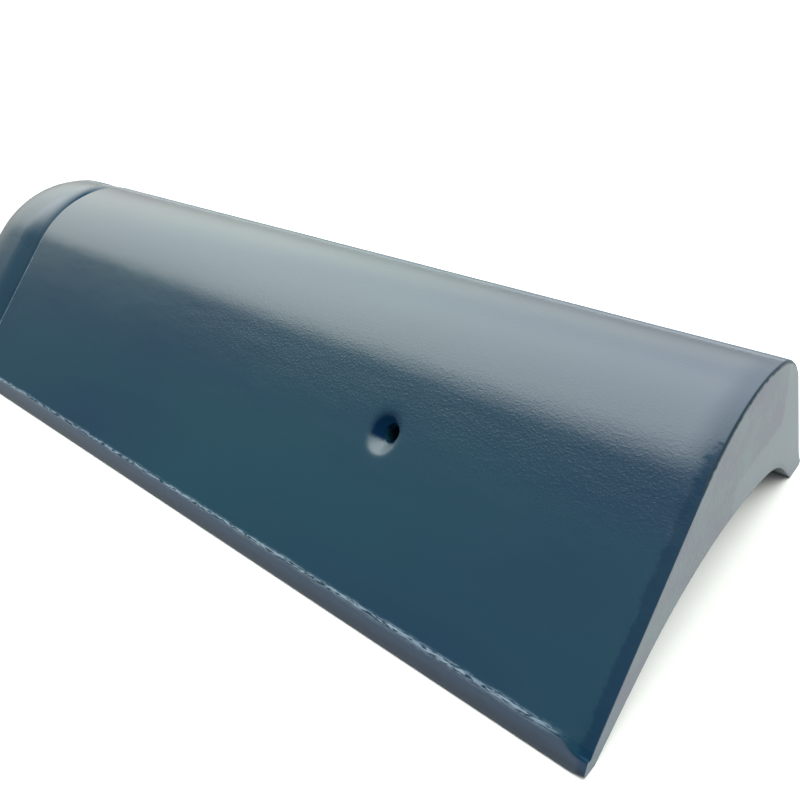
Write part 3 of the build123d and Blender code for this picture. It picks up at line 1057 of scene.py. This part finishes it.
line_bump = put(
    tree, "ShaderNodeBump", {"Height": lines, "Distance": PALLET_LINE_DEPTH * MM},
).outputs["Normal"]
hole_bump = put(
    tree, "ShaderNodeBump", {"Height": hole, "Distance": AIR_HOLE_DEPTH * MM, "Normal": line_bump},
    invert=True,
).outputs["Normal"]
tree.links.new(base, shader.inputs["Base Color"])
tree.links.new(hole_bump, shader.inputs["Normal"])
shader.inputs["Roughness"].default_value = PALLET_ROUGHNESS
print("underside concrete", len(tree.nodes), "nodes")

# %% Put the materials on the tile
for finish in (coating, cut, bare):
    mesh.materials.append(finish)
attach(tile, "root")
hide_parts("tile")

# %% [markdown]
# ## Floor and studio light
# The photograph was taken under a large soft ceiling of light whose near edge runs along the tile, a little
# towards the camera. That edge is what draws the boundary on the crown, bright above and dark below. An area
# light would draw an edge that is equally soft everywhere. A graded sky can do more: half of it is ceiling,
# brighter overhead than low down, its edge gets softer towards the tail, and it is dimmer past the head. The
# other half is the dim room behind the camera. The pale floor sends light back onto the lower edge and the
# cut face.

# %% Floor
FLOOR_TONE = "#D2D2D2"
FLOOR_TONE_PALE = "#D5D5D5"
FLOOR_HALF = 4000.0
FLOOR_PATCH = 1000 / 3
FLOOR_ROUGHNESS = 0.9

material, tree, shader = new_material("pale_floor")
spot = put(tree, "ShaderNodeTexCoord", {}).outputs["Object"]
faint = put(
    tree, "ShaderNodeTexNoise", {"Vector": spot, "Scale": per_metre(FLOOR_PATCH), "Detail": 2.0},
).outputs["Fac"]
base = put(
    tree, "ShaderNodeMix", {0: faint, MIX_A: colour(FLOOR_TONE), MIX_B: colour(FLOOR_TONE_PALE)},
    data_type="RGBA",
).outputs[MIX_RESULT]
tree.links.new(base, shader.inputs["Base Color"])
shader.inputs["Roughness"].default_value = FLOOR_ROUGHNESS
floor_mesh = bpy.data.meshes.new("floor")
far_out = FLOOR_HALF * MM
floor_corners = [(x * far_out, y * far_out, 0.0) for x, y in ((-1, -1), (1, -1), (1, 1), (-1, 1))]
floor_mesh.from_pydata(floor_corners, [], [(0, 1, 2, 3)])
floor_mesh.materials.append(material)
floor = bpy.data.objects.new("floor", floor_mesh)
bpy.context.scene.collection.objects.link(floor)

# %% Where the sky is ceiling
CEILING_EDGE = (-0.15, 1.0, 0.27)
SOFTNESS = 0.36
SOFTER_TO_TAIL = 0.3
FAR_END = (-0.76, -0.93)
FAR_BEND = 0.05

world = bpy.data.worlds.new("studio")
world.use_nodes = True
tree = world.node_tree
direction = put(tree, "ShaderNodeTexCoord", {}).outputs["Generated"]
parts = put(tree, "ShaderNodeSeparateXYZ", {0: direction}).outputs
past_edge = put(
    tree, "ShaderNodeVectorMath", {0: direction, 1: Vector(CEILING_EDGE).normalized()},
    operation="DOT_PRODUCT",
).outputs["Value"]
softness = put(
    tree, "ShaderNodeMath", {0: parts["X"], 1: SOFTER_TO_TAIL, 2: SOFTNESS}, operation="MULTIPLY_ADD",
).outputs[0]
far = put(
    tree, "ShaderNodeMapRange", {"Value": parts["X"], "From Min": FAR_END[0], "From Max": FAR_END[1]},
).outputs["Result"]
curved = put(
    tree, "ShaderNodeMath", {0: far, 1: -FAR_BEND, 2: past_edge}, operation="MULTIPLY_ADD",
).outputs[0]
steps_past = put(tree, "ShaderNodeMath", {0: curved, 1: softness}, operation="DIVIDE").outputs[0]
lit = put(
    tree, "ShaderNodeMapRange", {"Value": steps_past, "From Min": -1.0, "From Max": 1.0},
    interpolation_type="SMOOTHSTEP",
).outputs["Result"]

# %% How bright the ceiling and the room are
CEILING = 5.6
FAR_DIM = 0.25
# Each pair is the sine of the height above the floor and the share of the ceiling's light there.
GLOW = (
    (0.0, (0.078, 0.074, 0.06)), (0.06, (0.155, 0.144, 0.12)), (0.2, (0.37, 0.36, 0.316)),
    (0.32, (0.5, 0.505, 0.452)), (0.44, (0.567, 0.58, 0.535)), (0.5, (0.575, 0.592, 0.562)),
    (0.58, (0.68, 0.695, 0.675)), (0.71, (0.92, 0.945, 0.89)), (0.86, (0.985, 1.02, 0.98)),
)
ROOM = 0.3
ROOM_LOW = 0.1
ROOM_FULL_AT = 0.5
ROOM_TINT = (0.88, 1.0, 1.07)

glow = put(tree, "ShaderNodeValToRGB", {"Fac": parts["Z"]})
ramp = glow.color_ramp.elements
while len(ramp) < len(GLOW):
    ramp.new(0.5)
for stop, (sine, shine) in zip(ramp, GLOW):
    stop.position = sine
    stop.color = (*shine, 1.0)
dimmer = put(tree, "ShaderNodeMath", {0: far, 1: -FAR_DIM, 2: 1.0}, operation="MULTIPLY_ADD").outputs[0]
ceiling = put(
    tree, "ShaderNodeVectorMath", {0: glow.outputs["Color"], 1: dimmer}, operation="MULTIPLY",
).outputs["Vector"]
room = put(tree, "ShaderNodeMapRange", {
    "Value": parts["Z"], "From Min": 0.0, "From Max": ROOM_FULL_AT,
    "To Min": ROOM_LOW / CEILING, "To Max": ROOM / CEILING,
}).outputs["Result"]
room_light = put(
    tree, "ShaderNodeVectorMath", {0: ROOM_TINT, 1: room}, operation="MULTIPLY",
).outputs["Vector"]
light = put(
    tree, "ShaderNodeMix", {0: lit, MIX_A: room_light, MIX_B: ceiling}, data_type="RGBA",
).outputs[MIX_RESULT]
background = tree.nodes["Background"]
tree.links.new(light, background.inputs["Color"])
background.inputs["Strength"].default_value = CEILING
bpy.context.scene.world = world
bpy.context.scene.view_settings.view_transform = "Standard"
print("studio light", len(tree.nodes), "nodes")
